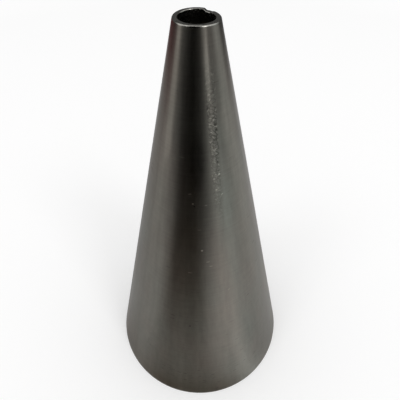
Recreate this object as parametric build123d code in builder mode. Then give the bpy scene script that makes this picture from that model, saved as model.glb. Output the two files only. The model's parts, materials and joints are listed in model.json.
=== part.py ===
"""Plain round piping nozzle: a tall cone of thin stainless sheet that drops into a piping bag.

The cone is rolled from one flat blank, so the sheet is an open shell that stops at the weld along one
side, and the weld joins its two long edges from the standing edge to the mouth. The weld is ground flush
outside. Inside, its root stands a little proud of the sheet, except at the mouth, where the sizing tool
cuts it away.

Frame: the origin is the centre of the standing edge, +Z runs up the cone to the mouth, and the seam
lies on the -Y side. Sizes are in millimetres.
"""

import os
from math import atan, cos, tan

from build123d import *

# The cone
nozzle_height = 50.0
base_diameter = 26.0
opening_diameter = 3.1
sheet_thickness = 0.4
mouth_land_length = 0.5

# The seam: the strip of sheet that the weld has melted and refilled
weld_width = 0.8
root_bead_height = 0.12

# Edge roundings, as shares of the sheet's thickness
mouth_outer_round_share = 0.45
mouth_inner_round_share = 0.22
base_round_share = 0.28

# What follows from them
base_radius = base_diameter / 2
opening_radius = opening_diameter / 2
mouth_radius = opening_radius + sheet_thickness
cone_half_angle = atan((base_radius - mouth_radius) / nozzle_height)
wall_across = sheet_thickness / cos(cone_half_angle)
inner_base_radius = base_radius - wall_across
cut_overrun = sheet_thickness


def wall_section(inner_foot_radius, land_foot_height):
    """The wall cut lengthwise. Its inside runs from inner_foot_radius at the standing edge up to
    land_foot_height, where the straight land of the mouth begins. All four corners are rounded."""
    with BuildSketch(Plane.XZ) as section:
        with BuildLine():
            Polyline(
                (base_radius, 0),
                (mouth_radius, nozzle_height),
                (opening_radius, nozzle_height),
                (opening_radius, land_foot_height),
                (inner_foot_radius, 0),
                close=True,
            )
        make_face()
        standing_corners = section.vertices().group_by(Axis.Y)[0]
        fillet(standing_corners, radius=sheet_thickness * base_round_share)
        outer_lip = section.vertices().group_by(Axis.Y)[-1].sort_by(Axis.X)[-1]
        fillet(outer_lip, radius=sheet_thickness * mouth_outer_round_share)
        inner_lip = section.vertices().group_by(Axis.Y)[-1].sort_by(Axis.X)[0]
        fillet(inner_lip, radius=sheet_thickness * mouth_inner_round_share)
    return section.sketch


# Shell: the blank rolled into a cone, which ends on both sides where the weld begins
with BuildPart() as cone_shell:
    revolve(wall_section(inner_base_radius, nozzle_height - mouth_land_length), axis=Axis.Z)
    with BuildSketch(Plane.XZ) as weld_strip:
        with Locations((0, nozzle_height / 2)):
            Rectangle(weld_width, nozzle_height + 2 * cut_overrun)
    extrude(amount=base_radius + cut_overrun, mode=Mode.SUBTRACT)
cone_shell.part.label = "cone_shell"

# Weld: the strip of wall between those edges, with its root bead standing proud inside
bead_foot_radius = inner_base_radius - root_bead_height
bead_top = (bead_foot_radius - opening_radius) / tan(cone_half_angle)
with BuildPart() as seam_weld:
    revolve(wall_section(bead_foot_radius, bead_top), axis=Axis.Z)
    extrude(weld_strip.sketch, amount=base_radius + cut_overrun, mode=Mode.INTERSECT)
seam_weld.part.label = "seam_weld"

os.makedirs("parts", exist_ok=True)
export_step(cone_shell.part, "parts/cone_shell.step")
export_step(seam_weld.part, "parts/seam_weld.step")
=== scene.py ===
"""The looks of a plain piping nozzle: a tall cone of brushed stainless sheet with a ground side weld.

Lengths are in metres and angles in radians, apart from those whose name or comment says millimetres or
degrees. The cone's axis is +Z, it stands on Z = 0, and its weld lies on the -Y side. An azimuth is counted
from +X towards +Y.
"""

import json

import bpy
import numpy as np
from mathutils import Matrix, Vector


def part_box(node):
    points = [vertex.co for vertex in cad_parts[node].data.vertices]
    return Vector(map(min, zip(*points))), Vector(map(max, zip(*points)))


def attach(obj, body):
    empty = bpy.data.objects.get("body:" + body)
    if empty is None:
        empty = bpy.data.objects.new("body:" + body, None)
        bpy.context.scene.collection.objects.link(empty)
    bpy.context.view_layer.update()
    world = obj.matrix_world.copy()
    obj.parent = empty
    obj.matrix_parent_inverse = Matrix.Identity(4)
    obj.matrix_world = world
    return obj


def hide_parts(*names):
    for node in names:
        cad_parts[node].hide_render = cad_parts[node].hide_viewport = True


bl_info = {
    "name": "Piping Nozzle",
    "version": (1, 0, 0),
    "blender": (4, 5, 0),
    "location": "3D Viewport > Sidebar > Nozzle",
    "description": "Builds a brushed and welded piping nozzle, and the studio that it is seen in",
    "category": "Object",
}

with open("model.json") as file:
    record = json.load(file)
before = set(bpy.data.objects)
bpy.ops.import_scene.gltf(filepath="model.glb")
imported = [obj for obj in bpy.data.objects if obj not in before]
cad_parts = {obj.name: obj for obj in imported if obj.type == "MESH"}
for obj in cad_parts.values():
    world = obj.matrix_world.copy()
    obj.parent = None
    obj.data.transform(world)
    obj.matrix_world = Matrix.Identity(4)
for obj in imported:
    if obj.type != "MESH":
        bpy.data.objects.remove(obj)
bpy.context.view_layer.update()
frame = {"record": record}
shell_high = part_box("cone_shell")[1]
weld_low, weld_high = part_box("seam_weld")
outlet = next(mount for mount in frame["record"]["mounts"] if mount["name"] == "outlet")

MM = 0.001
WELD_AZIMUTH = np.radians(-90.0)
SENSOR_WIDTH_MM = 36.0

# The soft lamps: their distance from the nozzle's middle and the length of a side
LAMP_DISTANCE = 0.6
LAMP_SIDE = 0.167

# The floor: its half width, and how far out its glow starts to rise to white and gets there
FLOOR_REACH = 2.0
GLOW_RISES_FROM = 0.16
GLOW_WHITE_AT = 1.2

# How many steps a card takes round the axis
CARD_STEPS = 96

# The wall's section has five corners, so ten runs: each corner's arc, then the straight that follows it
RUN_OUTSIDE, RUN_LIP_OUTER, RUN_LIP_TOP, RUN_LIP_INNER = 1, 2, 3, 4
RUN_LAND, RUN_LAND_FOOT, RUN_INSIDE = 5, 6, 7


def length(name, description, default):
    """A property for a length in metres."""
    return bpy.props.FloatProperty(
        name=name, description=description, default=default, min=0.0, unit="LENGTH", precision=5
    )


def angle(name, description, degrees):
    """A property for an angle, kept in radians and shown in degrees."""
    return bpy.props.FloatProperty(
        name=name, description=description, default=float(np.radians(degrees)), subtype="ANGLE"
    )


def number(name, description, default):
    """A property for a plain number, such as a level of light or a share."""
    return bpy.props.FloatProperty(name=name, description=description, default=default, min=0.0)


def linear(hex_colour):
    """The linear red, green and blue of an sRGB colour written as #rrggbb."""
    srgb = np.array([int(hex_colour[i : i + 2], 16) / 255 for i in (1, 3, 5)])
    low, high = srgb / 12.92, ((srgb + 0.055) / 1.055) ** 2.4
    return tuple(float(c) for c in np.where(srgb <= 0.04045, low, high))


def colour(name, description, hex_colour):
    """A property for a colour."""
    return bpy.props.FloatVectorProperty(
        name=name, description=description, default=linear(hex_colour), subtype="COLOR", min=0.0, max=1.0
    )


class NozzleSizes(bpy.types.PropertyGroup):
    """The sizes of the sheet cone and of its weld."""

    height: length("Height", "From the standing edge to the mouth", shell_high.z)
    base_radius: length("Base radius", "Outside, where the cone would meet the floor", 12.993 * MM)
    opening_radius: length("Opening radius", "Of the bore at the mouth", outlet["dims"]["r_mm"] * MM)
    land_length: length("Land", "Straight stretch of bore at the mouth", outlet["dims"]["length_mm"] * MM)
    sheet: length("Sheet thickness", "Of the rolled sheet", 0.4 * MM)
    weld_width: length("Weld width", "Across the strip of weld metal", weld_high.x - weld_low.x)
    bead_height: length("Root bead", "How far the weld stands proud inside", 0.12 * MM)
    mouth_outer_round: length("Mouth rounding outside", "Radius of the lip's outer edge", 0.18 * MM)
    mouth_inner_round: length("Mouth rounding inside", "Radius of the lip's inner edge", 0.088 * MM)
    standing_round: length("Standing edge rounding", "Radius of both its edges", 0.112 * MM)


class NozzleWear(bpy.types.PropertyGroup):
    """How far the cone strays from a perfect one, from rolling, welding, grinding and use."""

    wave_depth: length("Rolling waves", "Depth of the sheet's long, low waves", 0.012 * MM)
    tilt_drop: length("Mouth tilt", "How far the mouth's cut runs out of level", 0.07 * MM)
    tilt_azimuth: angle("Mouth's high side", "Where the tilted mouth is highest", -36.0)
    step_drop: length("Lip step", "How far the lip drops from one side of the weld to the other", 0.08 * MM)
    step_reach: angle("Lip step reach", "How far round the mouth the step dies out", 130.0)
    nick_drop: length("Lip nick", "How much further the lip is ground down beside the weld", 0.061 * MM)
    nick_reach: angle("Lip nick reach", "How far round the mouth the nick goes", 23.0)
    lip_depth: length("Lip depth", "How far below the lip its faults die out", 1.0 * MM)
    ripple_pitch: length("Bead ripple pitch", "Between two ripples of the root bead", 0.55 * MM)
    ripple_depth: length("Bead ripple depth", "Depth of those ripples", 0.035 * MM)
    stroke_depth: length("Grinding strokes", "Depth of the strokes left on the weld", 0.006 * MM)


class NozzleFinish(bpy.types.PropertyGroup):
    """Colours of the steel."""

    brushed: colour("Brushed sheet", "Stainless sheet brushed round the cone", "#73726b")
    warm: colour("Warm brushed sheet", "The same sheet where handling has warmed its tone", "#757069")
    lip: colour("Burnished lip", "The mouth's edge, smoothed by the sizing tool", "#a6a49e")
    mill: colour("Mill finish", "The sheet's unbrushed inside", "#6b6965")
    weld: colour("Ground weld", "Weld metal, ground flush", "#716e68")
    tint: colour("Heat tint", "Straw colour left beside the root bead", "#5c5344")


class NozzleStudio(bpy.types.PropertyGroup):
    """The camera, the lamps and the floor round the nozzle."""

    camera_azimuth: angle("Camera azimuth", "Round the cone's axis", 114.0)
    camera_distance: length("Camera distance", "From the cone's axis, level", 30.023 * MM)
    camera_height: length("Camera height", "Above the floor", 60.375 * MM)
    camera_pitch: angle("Camera pitch", "Below level", 46.128)
    camera_yaw: angle("Camera yaw", "To the right of the axis", 0.216)
    camera_roll: angle("Camera roll", "How far it turns the picture clockwise", -0.650)
    focal_length_mm: number("Focal length", "In millimetres, on a sensor 36 mm wide", 32.54)
    key_watts: number("Key lamp", "Power of the soft lamp to the camera's right, in watts", 0.53)
    fill_watts: number("Fill lamp", "Power of the soft lamp to the camera's left, in watts", 0.27)
    room_level: number("Room light", "Of the world that lights the table, where 1 is white", 0.8)
    table_lift: number("Table lift", "Added to the table where it shows as a background", 0.25)
    floor: colour("Floor", "Pale matt table", "#e6e6e6")


def smooth(value):
    """Eases a share: 0 below 0, 1 above 1, and 3 s^2 - 2 s^3 between them."""
    value = np.clip(value, 0, 1)
    return value * value * (3 - 2 * value)


def wall_corners(sizes):
    """The corners of the wall's lengthwise section and the radius that rounds each.

    The section runs up the outside from the standing edge, over the lip, down the straight land of the
    mouth and down the inside. The inside is parallel to the outside, one sheet away.
    """
    mouth_radius = sizes.opening_radius + sizes.sheet
    lean = np.arctan2(sizes.base_radius - mouth_radius, sizes.height)
    corners = [
        (sizes.base_radius, 0.0),
        (mouth_radius, sizes.height),
        (sizes.opening_radius, sizes.height),
        (sizes.opening_radius, sizes.height - sizes.land_length),
        (sizes.base_radius - sizes.sheet / np.cos(lean), 0.0),
    ]
    foot, outer_lip, inner_lip = sizes.standing_round, sizes.mouth_outer_round, sizes.mouth_inner_round
    return np.array(corners), [foot, outer_lip, inner_lip, 0.0, foot], lean


def rounded_loop(corners, rounds, arc_steps, run_steps):
    """The points (radius, height) of a closed outline whose corners are rounded, and each one's run.

    A corner with unit vectors a and b towards its neighbours, an angle w between them and a rounding r is
    replaced by an arc. The arc's centre lies on the bisector, r / sin(w / 2) away, and the arc begins
    r / tan(w / 2) along a and ends as far along b. The run after a corner is cut into equal steps.
    """
    points, runs, arcs = [], [], []
    for i, corner in enumerate(corners):
        a = corners[i - 1] - corner
        b = corners[(i + 1) % len(corners)] - corner
        a, b = a / np.linalg.norm(a), b / np.linalg.norm(b)
        half = np.arccos(np.clip(a @ b, -1, 1)) / 2
        centre = corner + (a + b) / np.linalg.norm(a + b) * rounds[i] / np.sin(half)
        first = corner + a * rounds[i] / np.tan(half) - centre
        last = corner + b * rounds[i] / np.tan(half) - centre
        start = np.arctan2(first[1], first[0])
        turn = (np.arctan2(last[1], last[0]) - start + np.pi) % (2 * np.pi) - np.pi
        sweep = start + turn * np.linspace(0, 1, arc_steps + 1 if rounds[i] else 1)
        arcs.append(centre + rounds[i] * np.stack([np.cos(sweep), np.sin(sweep)], 1))
    for i, arc in enumerate(arcs):
        following = arcs[(i + 1) % len(arcs)][0]
        between = np.linspace(0, 1, run_steps[i] + 1)[1:-1, None]
        points += [arc, arc[-1] + (following - arc[-1]) * between]
        runs += [np.full(len(arc), 2 * i), np.full(len(between), 2 * i + 1)]
    return np.concatenate(points), np.concatenate(runs)


def rolling_waves(azimuth, height_share, depth):
    """How far rolled sheet lies inside a true cone: long low waves that die out at both ends.

    The waves are the sum of three sines of the azimuth, each turning slowly with height, scaled to run
    from 0 to -depth.
    """
    waves = (
        0.5 * np.sin(2 * azimuth + 0.3 + 9.0 * height_share)
        + 0.3 * np.sin(3 * azimuth - 1.1 - 14.0 * height_share)
        + 0.2 * np.sin(5 * azimuth + 2.0 + 22.0 * height_share)
    )
    return depth * (waves - 1) / 2 * np.sin(np.pi * np.clip(height_share, 0, 1))


def lip_drop(azimuth, height, sizes, wear):
    """How far the lip lies below a level mouth.

    The mouth's cut is tilted, so it falls by the tilt times (1 - cos of the angle to its high side) / 2.
    The blank's two edges met a little out of line at the weld. Past the weld the lip keeps its height.
    Before it, the lip lies low by the step times a raised cosine of the angle to the weld, and lower
    still in the nick beside the weld. Easings 4 degrees to each side join the three, and another lets
    them all die out down the wall.
    """
    off = (azimuth - WELD_AZIMUTH + np.pi) % (2 * np.pi) - np.pi
    ease = np.radians(8)
    tilt = wear.tilt_drop * (1 - np.cos(azimuth - wear.tilt_azimuth)) / 2
    step = wear.step_drop * np.cos(np.pi / 2 * np.clip(-off / wear.step_reach, 0, 1)) ** 2
    nick = wear.nick_drop * smooth((off + wear.nick_reach) / ease + 0.5)
    near_lip = smooth((height - sizes.height + wear.lip_depth) / wear.lip_depth)
    return (tilt + (step + nick) * smooth(0.5 - off / ease)) * near_lip


def swept_wall(sizes, wear, start, end, columns, run_steps, shape=None):
    """A closed wall: the rounded section carried round the axis between two planes x = constant.

    start and end are the planes' x on the weld's side and the whole turns added to the azimuth there. A
    point at radius r and height z lies at the azimuth a = weld azimuth + arcsin(x / r), spread evenly
    between the two planes. shape may then change the radius. Near the lip, a point slides down the wall
    by the lip's drop; only the outside moves out with it, so the bore stays true.

    columns is the number of steps round, and run_steps holds those up the outside, across the lip, down
    the land, down the inside and across the foot. Returns the vertices, the quads, both end caps, each
    quad's run of the section, and the UV of each quad corner in millimetres.
    """
    corners, rounds, lean = wall_corners(sizes)
    loop, runs = rounded_loop(corners, rounds, arc_steps=8, run_steps=run_steps)
    radius, height = loop[:, :1], loop[:, 1:]
    low = WELD_AZIMUTH + np.arcsin(start[0] / radius) + 2 * np.pi * start[1]
    high = WELD_AZIMUTH + np.arcsin(end[0] / radius) + 2 * np.pi * end[1]
    azimuth = low + (high - low) * np.linspace(0, 1, columns + 1)
    radius, height = radius + 0 * azimuth, height + 0 * azimuth
    if shape is not None:
        radius = shape(radius, height, azimuth, runs[:, None])
    radius = radius + rolling_waves(azimuth, height / sizes.height, wear.wave_depth)
    drop = lip_drop(azimuth, height, sizes, wear)
    radius = radius + np.tan(lean) * drop * smooth((radius - sizes.opening_radius) / sizes.sheet)
    height = height - drop
    vertices = np.stack([radius * np.cos(azimuth), radius * np.sin(azimuth), height], -1)
    rows = len(loop)
    index = np.arange(rows * (columns + 1)).reshape(rows, columns + 1)
    above = np.roll(index, -1, axis=0)
    quads = np.stack([index[:, :-1], index[:, 1:], above[:, 1:], above[:, :-1]], -1).reshape(-1, 4)
    step = np.linalg.norm(np.roll(loop, -1, axis=0) - loop, axis=1)
    along = np.concatenate([[0.0], np.cumsum(step)]) / MM
    around = np.linspace(0, 1, columns + 1) * float(np.abs(high - low).mean()) * sizes.base_radius / MM
    u = np.broadcast_to(around, (rows, columns + 1))
    below_v = np.broadcast_to(along[:-1, None], (rows, columns + 1))
    above_v = np.broadcast_to(along[1:, None], (rows, columns + 1))
    uv = np.stack(
        [
            np.stack([u[:, :-1], below_v[:, :-1]], -1),
            np.stack([u[:, 1:], below_v[:, 1:]], -1),
            np.stack([u[:, 1:], above_v[:, 1:]], -1),
            np.stack([u[:, :-1], above_v[:, :-1]], -1),
        ],
        2,
    ).reshape(-1, 2)
    caps = [index[:, 0].tolist(), index[::-1, -1].tolist()]
    return vertices.reshape(-1, 3), quads, caps, np.repeat(runs, columns), uv


def new_piece(name, vertices, quads, caps, uv, materials, material_index):
    """A mesh object of quads and two end caps, smooth but for the caps, with its UV map."""
    mesh = bpy.data.meshes.new(name)
    mesh.from_pydata(vertices.tolist(), [], quads.tolist() + caps)
    layer = mesh.uv_layers.new(name="wall")
    corners = np.zeros((len(mesh.loops), 2), np.float32)
    corners[: len(uv)] = uv
    layer.data.foreach_set("uv", corners.ravel())
    shaded_smooth = np.ones(len(mesh.polygons), bool)
    shaded_smooth[len(quads) :] = False
    mesh.polygons.foreach_set("use_smooth", shaded_smooth)
    for material in materials:
        mesh.materials.append(material)
    index = np.zeros(len(mesh.polygons), np.int32)
    index[: len(quads)] = material_index
    mesh.polygons.foreach_set("material_index", index)
    mesh.update()
    piece = bpy.data.objects.new(name, mesh)
    bpy.context.scene.collection.objects.link(piece)
    return piece


def node(tree, kind, inputs=None, **settings):
    """Adds a node with its settings, gives each input a value or a link, and returns the outputs."""
    made = tree.nodes.new("ShaderNode" + kind)
    for name, value in settings.items():
        setattr(made, name, value)
    for name, value in (inputs or {}).items():
        if isinstance(value, bpy.types.NodeSocket):
            tree.links.new(value, made.inputs[name])
        else:
            made.inputs[name].default_value = value
    return made.outputs


def new_material(name):
    """An empty node material and its tree."""
    material = bpy.data.materials.new(name)
    material.use_nodes = True
    material.node_tree.nodes.clear()
    return material, material.node_tree


def cloudy(tree, vector, size_mm, seed):
    """Noise round a half, whose features are as long along X, Y and Z as size_mm says."""
    scale = tuple(1 / (side * MM) for side in size_mm)
    placed = node(tree, "Mapping", {"Vector": vector, "Scale": scale, "Location": (seed, -seed, seed)})[0]
    return node(tree, "TexNoise", {"Vector": placed, "Scale": 1.0, "Detail": 2.0, "Roughness": 0.6})["Fac"]


def strokes(tree, vector, size_mm, seed, kept, slant=0.0):
    """Short separate strokes, 1 inside a stroke and 0 outside, and a random value for each.

    Space is turned about X by the slant and cut into cells as long along X, Y and Z as size_mm says. A
    cell whose random red is over 1 - kept holds one stroke, full to 0.2 of a cell from the stroke's middle
    and gone at 0.45.
    """
    turned = node(tree, "Mapping", {"Vector": vector, "Rotation": (slant, 0, 0)})[0]
    scale = tuple(1 / (side * MM) for side in size_mm)
    placed = node(tree, "Mapping", {"Vector": turned, "Scale": scale, "Location": (seed, -seed, seed)})
    cell = node(tree, "TexVoronoi", {"Vector": placed[0], "Scale": 1.0, "Randomness": 1.0})
    random = node(tree, "SeparateColor", {"Color": cell["Color"]})
    held = node(tree, "Math", {0: random["Red"], 1: 1 - kept}, operation="GREATER_THAN")
    core = node(
        tree,
        "MapRange",
        {"Value": cell["Distance"], "From Min": 0.45, "From Max": 0.2},
        interpolation_type="SMOOTHSTEP",
    )
    return node(tree, "Math", {0: core[0], 1: held[0]}, operation="MULTIPLY")[0], random["Green"]


def stroked(tree, tone, cover, random, darkest, lightest):
    """The tone with strokes over it, each changed at random by between darkest and lightest."""
    change = node(tree, "Math", {0: random, 1: lightest - darkest, 2: darkest}, operation="MULTIPLY_ADD")[0]
    return node(tree, "Math", {0: cover, 1: change, 2: tone}, operation="MULTIPLY_ADD")[0]


def height_band(tree, height, heights):
    """A share of 0 to 1 that rises between the first two heights and falls between the last two."""
    start, full_from, full_to, end = heights
    rise = node(tree, "MapRange", {"Value": height, "From Min": start, "From Max": full_from})[0]
    fall = node(tree, "MapRange", {"Value": height, "From Min": end, "From Max": full_to})[0]
    return node(tree, "Math", {0: rise, 1: fall}, operation="MULTIPLY")[0]


# Bands up the cone: the half width where each is full, and the half width where it ends
SCUFF_HALF_WIDTHS = (0.34 * MM, 0.54 * MM)
GROUND_HALF_WIDTHS = (0.45 * MM, 0.95 * MM)

# Bands in height: where each starts, is full from, is full to, and ends
SCUFF_HEIGHTS = (31 * MM, 42 * MM, 42.5 * MM, 48 * MM)
RUBBED_HEIGHTS = (2.0 * MM, 3.2 * MM, 5.0 * MM, 7.0 * MM)

# The scuffed band's middle, each set of its scuffs as cell size in mm, seed and slant in degrees, and the
# cell size of its creases in mm
SCUFF_AZIMUTH = np.radians(134.8)
SCUFF_SETS = (((3, 0.42, 0.2), 2.7, 0), ((3, 0.46, 0.17), 9.1, 52), ((3, 0.46, 0.17), 5.9, -57))
CREASE_CELL = (3, 0.42, 0.34)

# Single marks: azimuth and slant in degrees, height, half length and half height in mm, and change of
# tone. The last six are painted light: soft patches along the reflected bands, painted highlight where
# they lighten and painted shade where they darken. The others are small nicks and scratches
MARKS_AND_PAINTED_LIGHT = (
    (104.4, 12, 35.3, 0.24, 0.10, 1.3),
    (107.9, 10, 34.2, 0.14, 0.11, 3.0),
    (109.4, 0, 33.9, 0.12, 0.10, -0.7),
    (121.6, 5, 34.0, 0.18, 0.10, 0.8),
    (134.2, 0, 35.6, 0.13, 0.11, 0.9),
    (140.3, 30, 34.9, 0.18, 0.09, 0.7),
    (138.8, 0, 37.2, 0.13, 0.12, 1.2),
    (114.3, 3, 31.0, 0.26, 0.08, 0.6),
    (116.6, 0, 28.2, 0.16, 0.13, 2.2),
    (121.8, 5, 26.5, 0.28, 0.11, 0.6),
    (124.3, 3, 25.8, 0.28, 0.11, 0.5),
    (105.7, -3, 24.9, 0.36, 0.09, 0.8),
    (106.2, 20, 15.6, 0.20, 0.14, -0.5),
    (139.4, 60, 21.3, 0.34, 0.12, 0.25),
    (131.5, 0, 46.6, 0.26, 4.5, 0.33),
    (137.0, 0, 40.5, 0.50, 2.8, -0.14),
    (72.5, 0, 40.5, 0.55, 4.0, 0.16),
    (112.5, 0, 38.5, 0.95, 9.5, -0.36),
    (153.0, 0, 42.0, 0.55, 4.0, 0.14),
    (48.0, 0, 2.0, 2.2, 2.6, -0.12),
)


def scuffed_band(tree, position):
    """The change of tone from short scuffs in a band 1 mm wide, strongest 42 mm up.

    The position is turned so that X runs out through the band's middle and Y across it. Three sets of
    strokes, two of them slanted, are lighter or darker at random, among a net of fine dark creases.
    """
    turned = node(tree, "Mapping", {"Vector": position, "Rotation": (0, 0, -SCUFF_AZIMUTH)})[0]
    place = node(tree, "SeparateXYZ", {"Vector": turned})
    off = node(tree, "Math", {0: place["Y"]}, operation="ABSOLUTE")[0]
    full, end = SCUFF_HALF_WIDTHS
    across = node(
        tree,
        "MapRange",
        {"Value": off, "From Min": end, "From Max": full},
        interpolation_type="SMOOTHSTEP",
    )[0]
    outward = node(tree, "Math", {0: place["X"], 1: 0.0}, operation="GREATER_THAN")[0]
    up = height_band(tree, place["Z"], SCUFF_HEIGHTS)
    band = node(tree, "Math", {0: across, 1: outward}, operation="MULTIPLY")[0]
    band = node(tree, "Math", {0: band, 1: up}, operation="MULTIPLY")[0]
    scale = tuple(1 / (side * MM) for side in CREASE_CELL)
    placed = node(tree, "Mapping", {"Vector": turned, "Scale": scale})[0]
    edge = node(tree, "TexVoronoi", {"Vector": placed, "Scale": 1.0}, feature="DISTANCE_TO_EDGE")[0]
    total = node(tree, "MapRange", {"Value": edge, "From Max": 0.14, "To Min": -0.5, "To Max": 0.08})[0]
    for size_mm, seed, slant in SCUFF_SETS:
        stroke, random = strokes(tree, turned, size_mm, seed, kept=0.6, slant=np.radians(slant))
        total = stroked(tree, total, stroke, random, darkest=-0.45, lightest=1.05)
    return node(tree, "Math", {0: total, 1: band}, operation="MULTIPLY")[0]


def marks_and_painted_light(tree, position):
    """Tone changes from nicks, scratches and patches of painted light, each a soft ellipse on the cone.

    The position is brought to the mark's middle, turned by its azimuth and slant, and divided by its half
    sizes, with 1 mm through the sheet. Its length is then 1 on the ellipse's edge, where the mark has
    died out.
    """
    sizes = bpy.context.scene.nozzle_sizes
    mouth_radius = sizes.opening_radius + sizes.sheet
    total = None
    for azimuth, slant, height, half_length, half_height, change in MARKS_AND_PAINTED_LIGHT:
        radius = sizes.base_radius + (mouth_radius - sizes.base_radius) * height * MM / sizes.height
        a = np.radians(azimuth)
        local = node(
            tree,
            "Mapping",
            {
                "Vector": position,
                "Location": (radius * np.cos(a), radius * np.sin(a), height * MM),
                "Rotation": (np.radians(slant), 0, a),
                "Scale": (MM, half_length * MM, half_height * MM),
            },
            vector_type="TEXTURE",
        )[0]
        away = node(tree, "VectorMath", {0: local}, operation="LENGTH")["Value"]
        share = node(
            tree,
            "MapRange",
            {"Value": away, "From Min": 1.0, "From Max": 0.4, "To Max": change},
            interpolation_type="SMOOTHSTEP",
        )[0]
        total = share if total is None else node(tree, "Math", {0: total, 1: share}, operation="ADD")[0]
    return total


def brushed_steel(name, base, warm, roughness, anisotropy, worn_and_painted):
    """Stainless sheet, brushed round the cone.

    The brushing leaves rings too fine to see one by one. They draw every reflection out along the cone,
    which gives the eye tall soft bands with sharp sides. Over them lie faint rings and facets, streaks,
    slow changes of tone and short scratches from handling. Beside the weld the grinding has left short
    rough strokes. A worn sheet also has a scuffed band up its upper half, a few nicks and scratches, and
    soft patches of painted highlight and painted shade laid along the reflected bands.
    """
    material, tree = new_material(name)
    position = node(tree, "TexCoord")["Object"]
    place = node(tree, "SeparateXYZ", {"Vector": position})

    # Rings: real brushing is 0.02 to 0.05 mm wide; drawn 0.2 mm wide, so that a few rings still show
    rings = cloudy(tree, position, (3.0, 3.0, 0.2), seed=3.1)

    # Slow changes of tone, and the short scratches from handling
    clouds = cloudy(tree, position, (7.0, 7.0, 9.0), seed=11.7)
    scratch, scratch_random = strokes(tree, position, (1.0, 1.0, 0.14), seed=5.3, kept=0.02)

    # Flats: the roller leaves long faint facets up the cone, about 1.5 mm wide at the standing edge
    level = node(tree, "VectorMath", {0: position, 1: (1, 1, 0)}, operation="MULTIPLY")[0]
    way = node(tree, "VectorMath", {0: level}, operation="NORMALIZE")[0]
    flats = node(tree, "TexNoise", {"Vector": way, "Scale": 8.5, "Detail": 2.5, "Roughness": 0.6})["Fac"]

    # Streaks: where the forming tool dragged up the sheet, 0.5 mm wide and some 7 mm tall
    streaks = cloudy(tree, position, (0.5, 0.5, 7.0), seed=17.9)

    # The ground zone: a band up the weld
    off_weld = node(tree, "Math", {0: place["X"]}, operation="ABSOLUTE")[0]
    full, end = GROUND_HALF_WIDTHS
    ground = node(
        tree,
        "MapRange",
        {"Value": off_weld, "From Min": end, "From Max": full},
        interpolation_type="SMOOTHSTEP",
    )[0]
    weld_side = node(tree, "Math", {0: place["Y"], 1: 0.0}, operation="LESS_THAN")[0]
    ground = node(tree, "Math", {0: ground, 1: weld_side}, operation="MULTIPLY")[0]
    stroke, stroke_random = strokes(tree, position, (0.55, 0.55, 0.2), seed=21.0, kept=0.55)
    stroke = node(tree, "Math", {0: stroke, 1: ground}, operation="MULTIPLY")[0]

    # The rubbed band: low on the cone, where it is held, handling scratches lie closer together
    rubbed, rubbed_random = strokes(tree, position, (0.9, 0.9, 0.2), seed=41.0, kept=0.3)
    low_down = height_band(tree, place["Z"], RUBBED_HEIGHTS)
    rubbed = node(tree, "Math", {0: rubbed, 1: low_down}, operation="MULTIPLY")[0]

    # Tone: it averages 1, because each of its four patterns averages a half
    patterns = ((rings, 0.28), (clouds, 0.1), (flats, 0.34), (streaks, 0.3))
    tone = 1 - sum(amount for pattern, amount in patterns) / 2
    for pattern, amount in patterns:
        tone = node(tree, "Math", {0: pattern, 1: amount, 2: tone}, operation="MULTIPLY_ADD")[0]

    # Marks: each lighter or darker at random
    marks = stroked(tree, 0.0, scratch, scratch_random, darkest=-0.5, lightest=0.4)
    marks = stroked(tree, marks, stroke, stroke_random, darkest=-0.6, lightest=0.4)
    marks = stroked(tree, marks, rubbed, rubbed_random, darkest=-0.55, lightest=0.2)
    # Scuffs and nicks are wear; the soft patches among the single marks are painted highlight and shade
    if worn_and_painted:
        marks = node(tree, "Math", {0: marks, 1: scuffed_band(tree, position)}, operation="ADD")[0]
        tone = node(tree, "Math", {0: tone, 1: marks_and_painted_light(tree, position)}, operation="ADD")[0]
    tone = node(tree, "Math", {0: tone, 1: marks}, operation="ADD")[0]
    tone = node(tree, "Math", {0: tone, 1: 0.1}, operation="MAXIMUM")[0]

    # Patches: here and there handling has warmed the tone
    patches = cloudy(tree, position, (6.0, 6.0, 14.0), seed=31.3)
    share = node(tree, "MapRange", {"Value": patches, "From Min": 0.35, "From Max": 0.65})[0]
    metal = node(tree, "Mix", {"Factor": share, 6: (*base, 1), 7: (*warm, 1)}, data_type="RGBA")[2]
    base_colour = node(tree, "VectorMath", {0: metal, "Scale": tone}, operation="SCALE")[0]

    rough = node(tree, "Math", {0: clouds, 1: 0.08, 2: roughness - 0.04}, operation="MULTIPLY_ADD")[0]
    rough = node(tree, "Math", {0: scratch, 1: 0.12, 2: rough}, operation="MULTIPLY_ADD")[0]
    rough = node(tree, "Math", {0: stroke, 1: 0.1, 2: rough}, operation="MULTIPLY_ADD")[0]

    # Relief in metres: rings 1.5 micrometres deep, scratches and strokes up to some 6
    relief = node(tree, "Math", {0: rings, 1: 0.0015 * MM}, operation="MULTIPLY")[0]
    relief = node(tree, "Math", {0: marks, 1: 0.006 * MM, 2: relief}, operation="MULTIPLY_ADD")[0]
    bump = node(tree, "Bump", {"Height": relief, "Distance": 1.0, "Strength": 1.0})[0]
    tangent = node(tree, "Tangent", direction_type="UV_MAP", uv_map="wall")[0]
    shader = node(
        tree,
        "BsdfPrincipled",
        {
            "Base Color": base_colour,
            "Metallic": 1.0,
            "Roughness": rough,
            "Specular Tint": (0.75, 0.75, 0.75, 1),
            "Anisotropic": anisotropy,
            "Anisotropic Rotation": 0.25,
            "Tangent": tangent,
            "Normal": bump,
        },
    )[0]
    node(tree, "OutputMaterial", {"Surface": shader})
    return material


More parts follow.
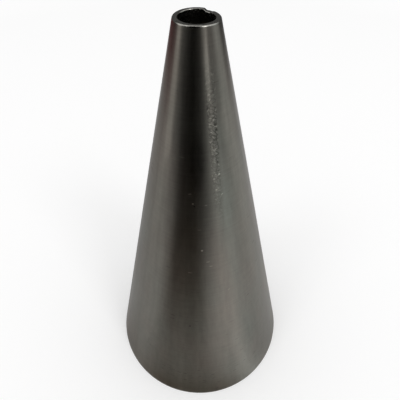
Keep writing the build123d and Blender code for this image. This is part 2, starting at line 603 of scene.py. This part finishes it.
def burnished_steel(name, base, roughness):
    """Stainless edge, turned and rubbed smooth by the sizing tool: it catches a thin bright glint.

    The tool leaves rings round the edge 0.02 mm wide; drawn 0.05 mm wide, so that they still break the
    glint up, with small soft dull patches where the edge has been knocked.
    """
    material, tree = new_material(name)
    position = node(tree, "TexCoord")["Object"]
    rings = cloudy(tree, position, (1.5, 1.5, 0.05), seed=8.2)
    patches = cloudy(tree, position, (0.4, 0.4, 0.4), seed=4.6)
    tone = node(tree, "Math", {0: patches, 1: 1.0, 2: 0.5}, operation="MULTIPLY_ADD")[0]
    base_colour = node(tree, "VectorMath", {0: tuple(base), "Scale": tone}, operation="SCALE")[0]
    rough = node(tree, "Math", {0: patches, 1: 0.12, 2: roughness - 0.06}, operation="MULTIPLY_ADD")[0]
    relief = node(tree, "Math", {0: rings, 1: 0.001 * MM}, operation="MULTIPLY")[0]
    bump = node(tree, "Bump", {"Height": relief, "Distance": 1.0, "Strength": 1.0})[0]
    shader = node(
        tree,
        "BsdfPrincipled",
        {"Base Color": base_colour, "Metallic": 1.0, "Roughness": rough, "Normal": bump},
    )[0]
    node(tree, "OutputMaterial", {"Surface": shader})
    return material


def mill_steel(name, base, roughness):
    """Stainless sheet as it left the rolling mill: an even, soft, cloudy grey with no brushing."""
    material, tree = new_material(name)
    position = node(tree, "TexCoord")["Object"]
    grain = cloudy(tree, position, (0.3, 0.3, 0.3), seed=2.0)
    clouds = cloudy(tree, position, (6.0, 6.0, 6.0), seed=4.0)
    tone = node(tree, "Math", {0: clouds, 1: 0.25, 2: 0.875}, operation="MULTIPLY_ADD")[0]
    base_colour = node(tree, "VectorMath", {0: tuple(base), "Scale": tone}, operation="SCALE")[0]
    rough = node(tree, "Math", {0: grain, 1: 0.1, 2: roughness - 0.05}, operation="MULTIPLY_ADD")[0]
    relief = node(tree, "Math", {0: grain, 1: 0.002 * MM}, operation="MULTIPLY")[0]
    bump = node(tree, "Bump", {"Height": relief, "Distance": 1.0, "Strength": 1.0})[0]
    shader = node(
        tree,
        "BsdfPrincipled",
        {"Base Color": base_colour, "Metallic": 1.0, "Roughness": rough, "Normal": bump},
    )[0]
    node(tree, "OutputMaterial", {"Surface": shader})
    return material


def material_slots(runs):
    """For each quad of a wall: 0 outside, 1 inside the bore, 2 on the lip."""
    inside = np.isin(runs, (RUN_LAND, RUN_LAND_FOOT, RUN_INSIDE))
    lip = np.isin(runs, (RUN_LIP_OUTER, RUN_LIP_TOP, RUN_LIP_INNER))
    return inside * 1 + lip * 2


class NOZZLE_OT_cone_shell(bpy.types.Operator):
    """Builds the rolled sheet cone, open along the strip that the weld fills"""

    bl_idname = "nozzle.cone_shell"
    bl_label = "Cone shell"

    def execute(self, context):
        """Sweeps the wall's section almost all the way round and dresses it in three finishes of steel."""
        scene = context.scene
        sizes, finish = scene.nozzle_sizes, scene.nozzle_finish
        half = sizes.weld_width / 2
        vertices, quads, caps, runs, uv = swept_wall(
            sizes, scene.nozzle_wear, (half, 0), (-half, 1), columns=540, run_steps=[101, 3, 3, 16, 3]
        )
        finishes = [
            brushed_steel(
                "stainless_sheet_brushed",
                finish.brushed,
                finish.warm,
                roughness=0.32,
                anisotropy=0.7,
                worn_and_painted=True,
            ),
            mill_steel("stainless_sheet_mill_finish", finish.mill, roughness=0.28),
            burnished_steel("stainless_lip_burnished", finish.lip, roughness=0.17),
        ]
        shell = new_piece("cone_sheet", vertices, quads, caps, uv, finishes, material_slots(runs))
        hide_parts("cone_shell")
        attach(shell, "root")
        return {"FINISHED"}


class NOZZLE_OT_seam_weld(bpy.types.Operator):
    """Builds the weld: ground flush outside, with its rippled root bead left inside"""

    bl_idname = "nozzle.seam_weld"
    bl_label = "Seam weld"

    def execute(self, context):
        """Sweeps the same section across the weld's strip, with a crown and ripples inside."""
        scene = context.scene
        sizes, wear, finish = scene.nozzle_sizes, scene.nozzle_wear, scene.nozzle_finish
        half = sizes.weld_width / 2
        random = np.random.default_rng(7)

        def dressed(radius, height, azimuth, runs):
            """Adds the bead and the grinding strokes to the plain wall.

            Inside, the bead is a parabola across the strip, one bead height proud in its middle, and
            ripples bowed along it follow a sine of height and of the square of the place across. It ends
            at the land. Outside, each point is lowered by a random depth, averaged with those of the two
            points before it, so that a stroke runs a little way across.
            """
            across = radius * np.cos(azimuth) / half
            crown = 1 - across**2
            ripple = np.sin(2 * np.pi * (height / wear.ripple_pitch + 0.5 * across**2))
            bead = sizes.bead_height * crown + wear.ripple_depth * crown * ripple
            below_land = sizes.height - sizes.land_length - height
            fade = np.clip(below_land / (2 * sizes.land_length), 0, 1)
            fade = fade * np.clip(height / sizes.sheet, 0, 1)
            depths = random.random(radius.shape)
            depths = (depths + np.roll(depths, 1, 1) + np.roll(depths, 2, 1)) / 3
            clear_of_ends = np.sin(np.pi * np.clip(height / sizes.height, 0, 1)) ** 0.2
            cut = wear.stroke_depth * depths * crown * clear_of_ends * (runs == RUN_OUTSIDE)
            return radius - bead * fade * (runs == RUN_INSIDE) - cut

        vertices, quads, caps, runs, uv = swept_wall(
            sizes, wear, (-half, 0), (half, 0), columns=16, run_steps=[421, 3, 3, 420, 3], shape=dressed
        )
        finishes = [
            brushed_steel(
                "stainless_weld_ground",
                finish.weld,
                finish.weld,
                roughness=0.38,
                anisotropy=0.6,
                worn_and_painted=False,
            ),
            mill_steel("stainless_weld_root", finish.tint, roughness=0.3),
            burnished_steel("stainless_lip_burnished_weld", finish.lip, roughness=0.17),
        ]
        weld = new_piece("weld_strip", vertices, quads, caps, uv, finishes, material_slots(runs))
        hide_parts("seam_weld")
        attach(weld, "root")
        return {"FINISHED"}


def card_material(name, tint, level, middle, half_angle, soft_angle, clear_at=None, full_at=None):
    """A card that the steel reflects, as bright as level, which may fade to clear at its sides.

    Away from the azimuth middle, its cover eases from 1 to 0 between soft_angle short of half_angle and
    soft_angle past it. Where two radii are given, it also eases from 0 at the first to 1 at the second.
    """
    material, tree = new_material(name)
    position = node(tree, "TexCoord")["Object"]
    flat = node(tree, "VectorMath", {0: position, 1: (1, 1, 0)}, operation="MULTIPLY")[0]
    unit = node(tree, "VectorMath", {0: flat}, operation="NORMALIZE")[0]
    middle_way = (np.cos(middle), np.sin(middle), 0)
    towards = node(tree, "VectorMath", {0: unit, 1: middle_way}, operation="DOT_PRODUCT")["Value"]
    off = node(tree, "Math", {0: towards}, operation="ARCCOSINE")[0]
    cover = node(
        tree,
        "MapRange",
        {"Value": off, "From Min": half_angle + soft_angle, "From Max": half_angle - soft_angle},
        interpolation_type="SMOOTHSTEP",
    )[0]
    if clear_at is not None:
        radius = node(tree, "VectorMath", {0: flat}, operation="LENGTH")["Value"]
        along = node(
            tree,
            "MapRange",
            {"Value": radius, "From Min": clear_at, "From Max": full_at},
            interpolation_type="SMOOTHSTEP",
        )[0]
        cover = node(tree, "Math", {0: cover, 1: along}, operation="MULTIPLY")[0]
    glow = node(tree, "Emission", {"Color": (*tint, 1), "Strength": level})[0]
    clear = node(tree, "BsdfTransparent")[0]
    node(tree, "OutputMaterial", {"Surface": node(tree, "MixShader", {0: cover, 1: clear, 2: glow})[0]})
    return material


def ring_card(name, inner, outer, low, high, material, middle, half_angle):
    """A strip round the axis: a cone frustum from radius inner at height low to outer at high.

    Its point at the share s across and the azimuth a is (r cos a, r sin a, z), where r and z run from the
    first pair to the second with s. Only glossy rays see it.
    """
    azimuth = (middle + np.linspace(-half_angle, half_angle, CARD_STEPS + 1))[None, :]
    across = np.array([[0.0], [1.0]])
    radius = inner + (outer - inner) * across
    height = low + (high - low) * across + 0 * azimuth
    vertices = np.stack([radius * np.cos(azimuth), radius * np.sin(azimuth), height], -1).reshape(-1, 3)
    first = np.arange(CARD_STEPS)
    above = first + CARD_STEPS + 1
    quads = np.stack([first, first + 1, above + 1, above], 1)
    mesh = bpy.data.meshes.new(name)
    mesh.from_pydata(vertices.tolist(), [], quads.tolist())
    mesh.materials.append(material)
    card = bpy.data.objects.new(name, mesh)
    bpy.context.scene.collection.objects.link(card)
    card.visible_camera = card.visible_diffuse = card.visible_shadow = card.visible_transmission = False


def softbox(name, azimuth, elevation, watts, target):
    """A square soft lamp that faces the target, outside the camera's sight."""
    lamp = bpy.data.lights.new(name, "AREA")
    lamp.shape, lamp.size, lamp.energy = "SQUARE", LAMP_SIDE, watts
    placed = bpy.data.objects.new(name, lamp)
    level = np.cos(elevation)
    back = Vector((np.cos(azimuth) * level, np.sin(azimuth) * level, np.sin(elevation)))
    placed.location = target + back * LAMP_DISTANCE
    placed.rotation_euler = back.to_track_quat("Z", "Y").to_euler()
    placed.visible_camera = False
    bpy.context.scene.collection.objects.link(placed)


def background_factor(tree):
    """1 for the rays that show a background: camera, glossy and transmission rays."""
    path = node(tree, "LightPath")
    seen = node(tree, "Math", {0: path["Is Camera Ray"], 1: path["Is Glossy Ray"]}, operation="MAXIMUM")[0]
    return node(tree, "Math", {0: seen, 1: path["Is Transmission Ray"]}, operation="MAXIMUM")[0]


def make_floor(studio):
    """The floor: a pale matt table.

    For the rays that show a background it glows as well, more and more outwards, up to white.
    """
    material, tree = new_material("matt_white_table")
    lit = node(tree, "BsdfDiffuse", {"Color": (*studio.floor, 1)})[0]
    out = node(tree, "VectorMath", {0: node(tree, "TexCoord")["Object"]}, operation="LENGTH")["Value"]
    lift = node(
        tree,
        "MapRange",
        {
            "Value": out,
            "From Min": GLOW_RISES_FROM,
            "From Max": GLOW_WHITE_AT,
            "To Min": studio.table_lift,
            "To Max": 1.0,
        },
    )[0]
    lift = node(tree, "Math", {0: lift, 1: background_factor(tree)}, operation="MULTIPLY")[0]
    glow = node(tree, "Emission", {"Color": (1, 1, 1, 1), "Strength": lift})[0]
    node(tree, "OutputMaterial", {"Surface": node(tree, "AddShader", {0: lit, 1: glow})[0]})
    mesh = bpy.data.meshes.new("floor")
    sides = ((-1, -1), (1, -1), (1, 1), (-1, 1))
    corners = [(x * FLOOR_REACH, y * FLOOR_REACH, 0) for x, y in sides]
    mesh.from_pydata(corners, [], [(0, 1, 2, 3)])
    mesh.materials.append(material)
    floor = bpy.data.objects.new("floor", mesh)
    bpy.context.scene.collection.objects.link(floor)


def make_world(studio):
    """The world: soft light from all round, white where a ray shows it as a background."""
    world = bpy.data.worlds.new("studio_white")
    world.use_nodes = True
    tree = world.node_tree
    tree.nodes.clear()
    strength = node(
        tree,
        "MapRange",
        {"Value": background_factor(tree), "To Min": studio.room_level, "To Max": 1.0},
    )[0]
    sky = node(tree, "Background", {"Color": (1, 1, 1, 1), "Strength": strength})[0]
    node(tree, "OutputWorld", {"Surface": sky})
    bpy.context.scene.world = world


def make_cards(camera_right):
    """The cards that the steel reflects, seen by glossy rays only.

    Angles are in degrees and lengths in millimetres, and an azimuth is counted from the camera's right.
    The wall goes all round, and the rest fade out at their sides. Those on the table lie 0.01 to 0.04 mm
    over it, each at its own height, so that no two share a plane. They are painted light and shade on the
    table: each makes it lighter or darker as the steel sees it. A fade may run on to a radius inside
    the card's inner edge, where the card is then part faded.
    """
    # The warm tint colours the painted shadows on the table
    grey, cool, red, warm = (1, 1, 1), (0.92, 1, 1.01), (4.2, 0.12, 0.3), (1.4, 0.94, 0.5)
    table = (13.5, 158)
    cards = (
        # name, tint, level, (middle, half, soft), (inner, outer, low, high), radii (clear, full)
        ("wall", grey, 0.1, (0, 360, 1), (160, 160, 0, 100), ()),
        ("wall_far", grey, 0.11, (90, 70, 15), (160, 160, 100, 400), ()),
        ("wall_red", red, 0.045, (146, 36, 2), (159, 159, 0, 35), ()),
        ("wall_left", (1.05, 1, 0.98), 1.0, (-169, 10, 8), (158, 158, 0, 100), ()),
        ("wall_right", grey, 1.3, (-63, 15, 2), (157, 157, 0, 100), ()),
        ("wall_side", cool, 0.8, (0, 19, 11), (156, 156, 0, 100), ()),
        ("black_flag", grey, 0.0, (-102, 46, 25), (57, 57, 0, 400), ()),
        ("table_left", grey, 0.77, (-201, 45, 15), (*table, 0.01, 0.01), ()),
        ("table_right", grey, 0.7, (-25, 12, 22), (*table, 0.015, 0.015), ()),
        # Painted light: a bright pool on the table to the front right
        ("table_far", cool, 1.2, (-34, 12, 17), (*table, 0.02, 0.02), (19, 29)),
        # Painted shadow: the flag's shadow laid on the table as a dim warm card
        ("table_flag_painted_shadow", warm, 0.065, (-112, 30, 14), (13.5, 57, 0.025, 0.025), (-6, 54)),
        # Painted shadow: dim warm shade on the table round the foot, darkest at the foot
        ("table_foot_painted_shadow", warm, 0.1, (-121, 58, 19), (13.1, 23, 0.03, 0.03), (23, 9)),
        ("table_glint", grey, 1.5, (-50, 2, 15), (13.1, 62, 0.035, 0.035), (62, 47)),
        # Painted light: a paler patch on the table at the foot's left, over the painted shade there
        ("table_near", grey, 0.82, (-162, 33, 14), (13.1, 25, 0.04, 0.04), (25, 3)),
    )
    for name, tint, level, angles, shape, fade in cards:
        middle, half, soft = np.radians(angles)
        radii = (radius * MM for radius in fade)
        finish = card_material(name, tint, level, camera_right + middle, half, soft, *radii)
        sweep = min(half + soft, np.pi)
        ring_card(name, *(side * MM for side in shape), finish, camera_right + middle, sweep)


def make_camera(studio):
    """The camera: level distance, height, pitch, yaw and roll as fitted to the photo's outline."""
    facing = studio.camera_azimuth
    pitch, yaw, roll = studio.camera_pitch, studio.camera_yaw, studio.camera_roll
    heading = Vector((-np.cos(facing), -np.sin(facing), 0))
    ahead = heading * np.cos(pitch) - Vector((0, 0, np.sin(pitch)))
    up = heading * np.sin(pitch) + Vector((0, 0, np.cos(pitch)))
    right = ahead.cross(up)
    ahead, right = ahead * np.cos(yaw) + right * np.sin(yaw), right * np.cos(yaw) - ahead * np.sin(yaw)
    right, up = right * np.cos(roll) + up * np.sin(roll), up * np.cos(roll) - right * np.sin(roll)
    camera = bpy.data.cameras.new("camera")
    camera.sensor_width, camera.lens = SENSOR_WIDTH_MM, studio.focal_length_mm
    camera.clip_start, camera.clip_end = 0.001, 10.0
    viewer = bpy.data.objects.new("camera", camera)
    pose = Matrix((right, up, -ahead)).transposed().to_4x4()
    pose.translation = -heading * studio.camera_distance + Vector((0, 0, studio.camera_height))
    viewer.matrix_world = pose
    bpy.context.scene.collection.objects.link(viewer)
    bpy.context.scene.camera = viewer


class NOZZLE_OT_studio(bpy.types.Operator):
    """Sets up the pale floor, the soft light, the cards and the camera"""

    bl_idname = "nozzle.studio"
    bl_label = "Studio"

    def execute(self, context):
        """Makes the stage around the finished nozzle."""
        scene, studio = context.scene, context.scene.nozzle_studio
        camera_right = studio.camera_azimuth + np.pi / 2
        make_floor(studio)
        make_world(studio)

        # Lamps: a key to the right of the camera and a fill to its left. The two angles are degrees of
        # azimuth, from the camera's right, and of elevation
        target = Vector((0, 0, scene.nozzle_sizes.height / 2))
        lamps = (("key_softbox", -49, 45, studio.key_watts), ("fill_softbox", -142, 50, studio.fill_watts))
        for name, azimuth, elevation, watts in lamps:
            softbox(name, camera_right + np.radians(azimuth), np.radians(elevation), watts, target)

        make_cards(camera_right)
        make_camera(studio)
        scene.view_settings.view_transform = "Standard"
        return {"FINISHED"}


class NOZZLE_PT_panel(bpy.types.Panel):
    """Lists the nozzle's pieces and its studio"""

    bl_idname = "NOZZLE_PT_panel"
    bl_label = "Piping Nozzle"
    bl_space_type = "VIEW_3D"
    bl_region_type = "UI"
    bl_category = "Nozzle"

    def draw(self, context):
        """Draws a button for each operator, then every size, share and colour."""
        for operator in OPERATORS:
            self.layout.operator(operator.bl_idname)
        for name, group in GROUPS.items():
            box = self.layout.box()
            for prop in group.__annotations__:
                box.prop(getattr(context.scene, name), prop)


OPERATORS = (NOZZLE_OT_cone_shell, NOZZLE_OT_seam_weld, NOZZLE_OT_studio)
GROUPS = {
    "nozzle_sizes": NozzleSizes,
    "nozzle_wear": NozzleWear,
    "nozzle_finish": NozzleFinish,
    "nozzle_studio": NozzleStudio,
}


def register():
    """Registers the groups, the operators and the panel."""
    for group in (*GROUPS.values(), *OPERATORS, NOZZLE_PT_panel):
        bpy.utils.register_class(group)
    for name, group in GROUPS.items():
        setattr(bpy.types.Scene, name, bpy.props.PointerProperty(type=group))


def unregister():
    """Takes back what register has added."""
    for name in GROUPS:
        delattr(bpy.types.Scene, name)
    for group in (NOZZLE_PT_panel, *reversed(OPERATORS), *GROUPS.values()):
        bpy.utils.unregister_class(group)


def main():
    """Builds every piece and the studio."""
    register()
    bpy.ops.nozzle.cone_shell()
    bpy.ops.nozzle.seam_weld()
    bpy.ops.nozzle.studio()


if __name__ == "__main__":
    main()
